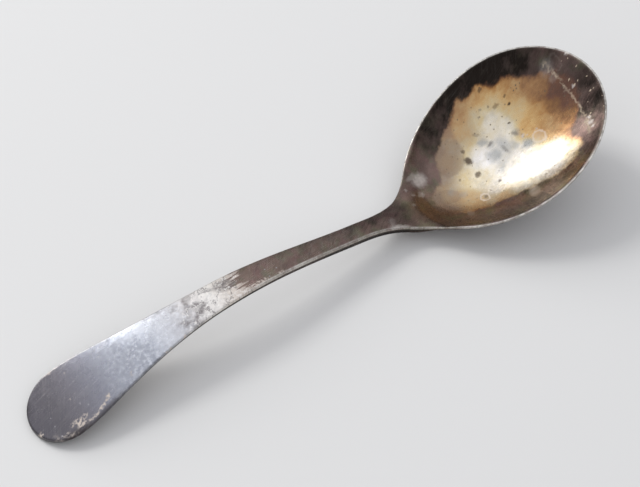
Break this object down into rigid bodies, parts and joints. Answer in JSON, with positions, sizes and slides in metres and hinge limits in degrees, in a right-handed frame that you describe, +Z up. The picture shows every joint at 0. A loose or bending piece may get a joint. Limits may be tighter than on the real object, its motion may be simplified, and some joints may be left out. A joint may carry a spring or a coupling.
{
  "type": "serving spoon",
  "caption": "Short plain serving spoon with a deep egg-shaped bowl, slim arched stem and rounded flat handle end, in worn tarnished silver plate.",
  "frame": {"origin": "on the table under the middle of the spoon's length and width", "axes": "+X from the handle's end to the bowl's tip, +Z up from the table the spoon lies on, hollow of the bowl upward"},
  "size_m": [0.145, 0.04, 0.0246],
  "materials": {
    "handle": "nickel silver with worn, grey-tarnished silver plate",
    "bowl": "nickel silver with silver plate tarnished gold, brown and black"
  },
  "bodies": {
    "root": {"handle": "handle", "bowl": "bowl"}
  },
  "joints": []
}
